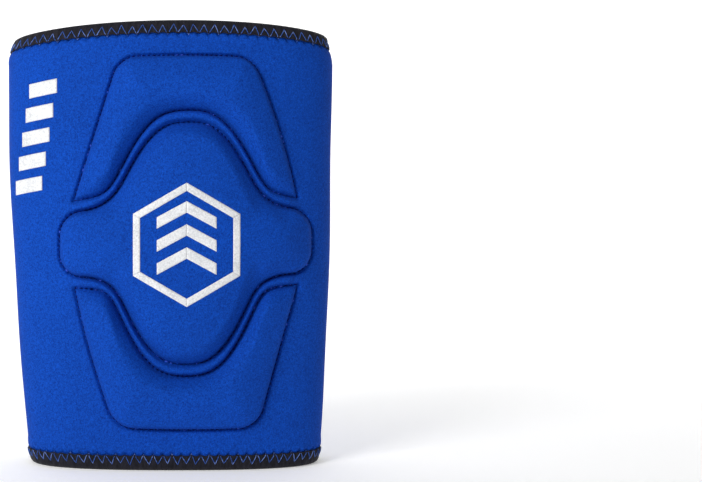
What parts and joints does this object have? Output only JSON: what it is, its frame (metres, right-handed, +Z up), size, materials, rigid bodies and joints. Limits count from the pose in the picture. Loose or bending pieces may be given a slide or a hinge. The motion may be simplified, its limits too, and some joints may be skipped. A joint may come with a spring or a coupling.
{
  "type": "padded elbow sleeve",
  "caption": "Tapered neoprene elbow sleeve with stitched foam pads over the elbow and bound, zigzag-sewn hems.",
  "frame": {"origin": "on the floor under the middle of the upright sleeve: the centre of the bounding box's bottom face", "axes": "+Z up the arm from the forearm hem to the upper-arm hem, -Y out of the padded front, +X to the right seen from the front"},
  "size_m": [0.1537, 0.0707, 0.2],
  "materials": {
    "neoprene": "royal blue knit-faced foamed neoprene, soft sheen",
    "lining": "black jersey lining, matte",
    "foam": "closed-cell foam, matte",
    "binding": "black stretch binding, fine ribs",
    "hem_thread": "light blue overlock thread",
    "seam_thread": "dark blue thread",
    "print": "silver-white speckled transfer print"
  },
  "bodies": {
    "forearm_section": {"lower_front_cover": "neoprene", "lower_back_panel": "neoprene", "lower_foam": "foam", "lower_lining": "lining", "bottom_hem": "binding", "bottom_hem_zigzag": "hem_thread", "lower_topstitch": "seam_thread", "lower_side_seams": "seam_thread"},
    "elbow_section": {"centre_front_cover": "neoprene", "centre_back_panel": "neoprene", "centre_foam": "foam", "centre_lining": "lining", "centre_topstitch": "seam_thread", "centre_side_seams": "seam_thread", "emblem_print": "print", "upper_crease_gusset": "neoprene", "lower_crease_gusset": "neoprene"},
    "upper_arm_section": {"upper_front_cover": "neoprene", "upper_back_panel": "neoprene", "upper_foam": "foam", "upper_lining": "lining", "top_hem": "binding", "top_hem_zigzag": "hem_thread", "upper_topstitch": "seam_thread", "upper_side_seams": "seam_thread", "side_mark_print": "print"}
  },
  "joints": [
    {"name": "forearm_bend", "type": "hinge", "parent": "forearm_section", "child": "elbow_section", "pos_m": [0, 0.0034, 0.062], "axis": [-1, 0, 0], "range_deg": [0, 55], "stiffness_Nm_per_rad": 0.15, "deforming": ["lower_crease_gusset"]},
    {"name": "upper_arm_bend", "type": "hinge", "parent": "elbow_section", "child": "upper_arm_section", "pos_m": [0, 0.0034, 0.138], "axis": [-1, 0, 0], "range_deg": [0, 55], "stiffness_Nm_per_rad": 0.15, "deforming": ["upper_crease_gusset"]}
  ]
}
